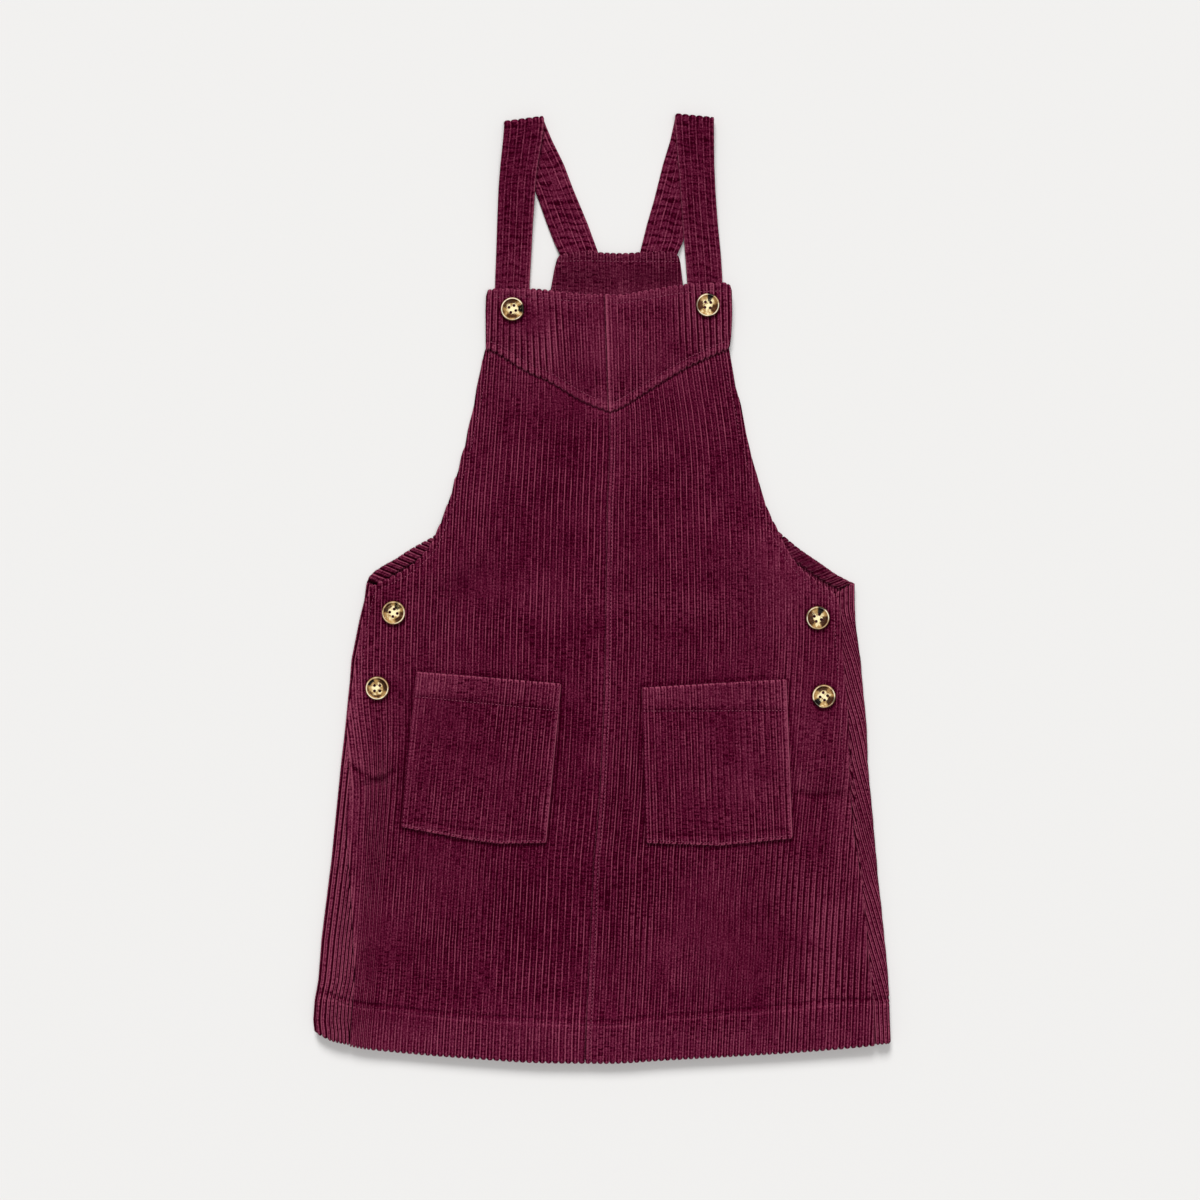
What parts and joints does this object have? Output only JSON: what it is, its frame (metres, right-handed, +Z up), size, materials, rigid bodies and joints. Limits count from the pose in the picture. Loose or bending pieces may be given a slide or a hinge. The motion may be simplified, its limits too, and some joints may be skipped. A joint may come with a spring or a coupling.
{
  "type": "pinafore dress",
  "caption": "Corduroy pinafore dress laid flat: pointed bib with buttoned shoulder straps, patch pockets, buttoned side openings and a turned-up hem.",
  "frame": {"origin": "bottom centre of the laid dress's bounding box, on the surface it lies on", "axes": "+X across the dress to the right of someone facing its front from above, +Y from hem to shoulder straps, +Z up out of the front"},
  "size_m": [0.5194, 0.855, 0.0129],
  "materials": {
    "cord": "wine-red jumbo corduroy, brushed cotton pile in raised wales",
    "cord_inside": "the same corduroy, seen on the inside of the back bib in the front's shade",
    "horn": "polished cream and brown horn-look resin"
  },
  "bodies": {
    "root": {"back": "cord", "back_bib_facing": "cord_inside", "front_left": "cord", "front_right": "cord", "yoke_left": "cord", "yoke_right": "cord", "pocket_left": "cord", "pocket_right": "cord", "strap_left": "cord", "strap_right": "cord", "button_bib_left": "horn", "button_bib_right": "horn", "button_side_left_upper": "horn", "button_side_left_lower": "horn", "button_side_right_upper": "horn", "button_side_right_lower": "horn"}
  },
  "joints": []
}
